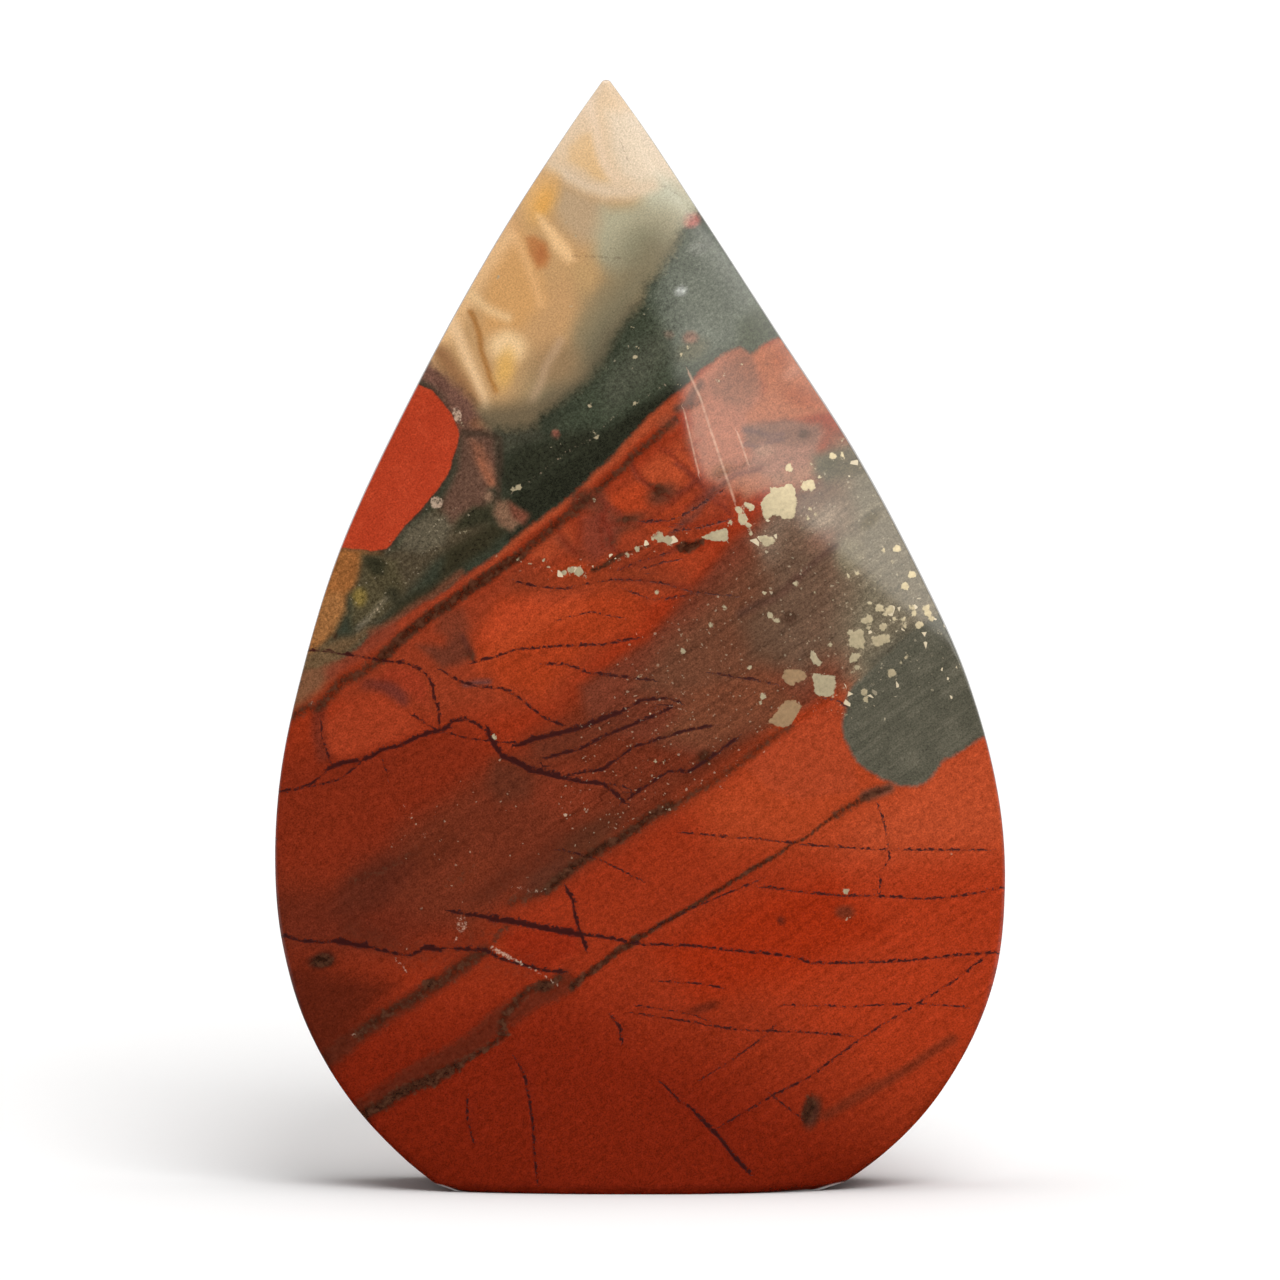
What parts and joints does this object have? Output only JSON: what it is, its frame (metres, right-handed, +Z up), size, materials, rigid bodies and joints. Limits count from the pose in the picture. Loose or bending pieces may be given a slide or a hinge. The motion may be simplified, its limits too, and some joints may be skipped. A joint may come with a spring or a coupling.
{
  "type": "polished bloodstone freeform",
  "caption": "Polished stone freeform: a teardrop slab with crowned faces and a bevelled rim that rises to a rounded point and stands upright on a flat cut base.",
  "frame": {"origin": "middle of the flat base", "axes": "+Z up to the point, -Y out of the polished front, +X to the right seen from the front"},
  "size_m": [0.0787, 0.032, 0.1195],
  "materials": {
    "polished_stone": "hand-polished opaque jasper with a soft gloss: cream chalcedony at the point, a dark green band, and brick red below with dark seams and pale pyrite grains"
  },
  "bodies": {
    "root": {"stone": "polished_stone"}
  },
  "joints": []
}
